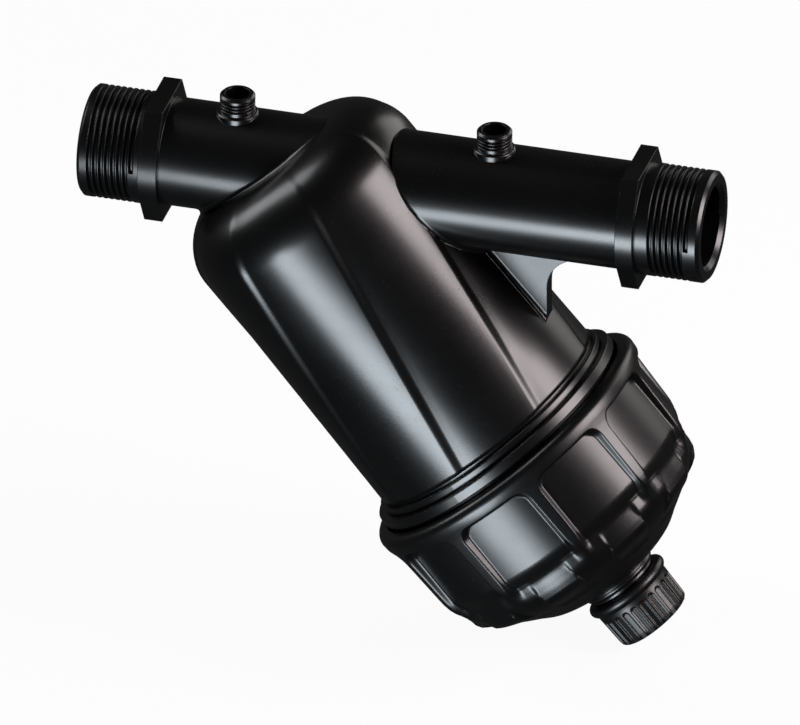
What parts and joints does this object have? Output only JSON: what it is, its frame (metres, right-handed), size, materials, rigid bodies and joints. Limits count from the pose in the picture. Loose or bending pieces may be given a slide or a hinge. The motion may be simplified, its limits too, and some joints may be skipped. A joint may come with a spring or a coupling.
{
  "type": "irrigation disc filter",
  "caption": "Y-shaped in-line disc filter with threaded pipe ends, gauge nipples, slanted lobed barrel, ribbed screw cap and drain cap.",
  "frame": {"origin": "centre of the outlet pipe end, in the plane of its end face", "axes": "+X along the pipe from the outlet end to the inlet end, +Z the way the gauge nipples point, Y=0 the plane that holds the slanted barrel's axis"},
  "size_m": [0.2383, 0.1188, 0.2083],
  "materials": {
    "body_plastic": "glossy black moulded plastic",
    "cap_plastic": "satin black moulded plastic",
    "drain_plastic": "satin black moulded plastic",
    "seal_rubber": "black rubber",
    "core_plastic": "matt dark grey plastic",
    "disc_plastic": "matt red plastic",
    "steel": "stainless steel",
    "brass": "brass"
  },
  "bodies": {
    "body": {"housing": "body_plastic", "cartridge_head": "core_plastic", "head_seal": "seal_rubber", "swirl_ring": "core_plastic", "core": "core_plastic", "core_plug": "core_plastic", "end_disc": "core_plastic", "filter_discs": "disc_plastic", "spindle": "steel", "spindle_nut": "steel"},
    "cap_seal": {"cap_seal_ring": "seal_rubber"},
    "cap": {"cap": "cap_plastic"},
    "drain_seal": {"drain_gasket": "seal_rubber"},
    "drain_cap": {"drain_cap": "drain_plastic"},
    "pressure_plate": {"pressure_plate": "core_plastic", "spring": "steel"},
    "spring_cup": {"spring_cup": "core_plastic", "washer": "steel"},
    "knob": {"wing_knob": "core_plastic", "knob_insert": "brass"}
  },
  "joints": [
    {"name": "cap_lift", "type": "slide", "parent": "body", "child": "cap_seal", "axis": [0.6468, 0, -0.7627], "range_m": [0, 0.02]},
    {"name": "cap_turn", "type": "hinge", "parent": "cap_seal", "child": "cap", "pos_m": [0.17543, 0, -0.12279], "axis": [0.6468, 0, -0.7627], "range_deg": [0, 1440]},
    {"name": "drain_lift", "type": "slide", "parent": "cap", "child": "drain_seal", "axis": [0.6468, 0, -0.7627], "range_m": [0, 0.008]},
    {"name": "drain_turn", "type": "hinge", "parent": "drain_seal", "child": "drain_cap", "pos_m": [0.21353, 0, -0.16771], "axis": [0.6468, 0, -0.7627], "range_deg": [0, 1440]},
    {"name": "plate_slide", "type": "slide", "parent": "body", "child": "pressure_plate", "axis": [0.6468, 0, -0.7627], "range_m": [0, 0.004], "stiffness_N_per_m": 2000, "deforming": ["spring"]},
    {"name": "knob_lift", "type": "slide", "parent": "body", "child": "spring_cup", "axis": [0.6468, 0, -0.7627], "range_m": [0, 0.005], "deforming": ["spring"]},
    {"name": "knob_turn", "type": "hinge", "parent": "spring_cup", "child": "knob", "pos_m": [0.18009, 0, -0.12828], "axis": [0.6468, 0, -0.7627], "range_deg": [0, 1440]}
  ],
  "couplings": [
    {"joint": "cap_lift", "follows": "cap_turn", "m_per_rad": 0.00079577},
    {"joint": "drain_lift", "follows": "drain_turn", "m_per_rad": 0.00031831},
    {"joint": "knob_turn", "follows": "knob_lift", "rad_per_m": 5026.5}
  ]
}
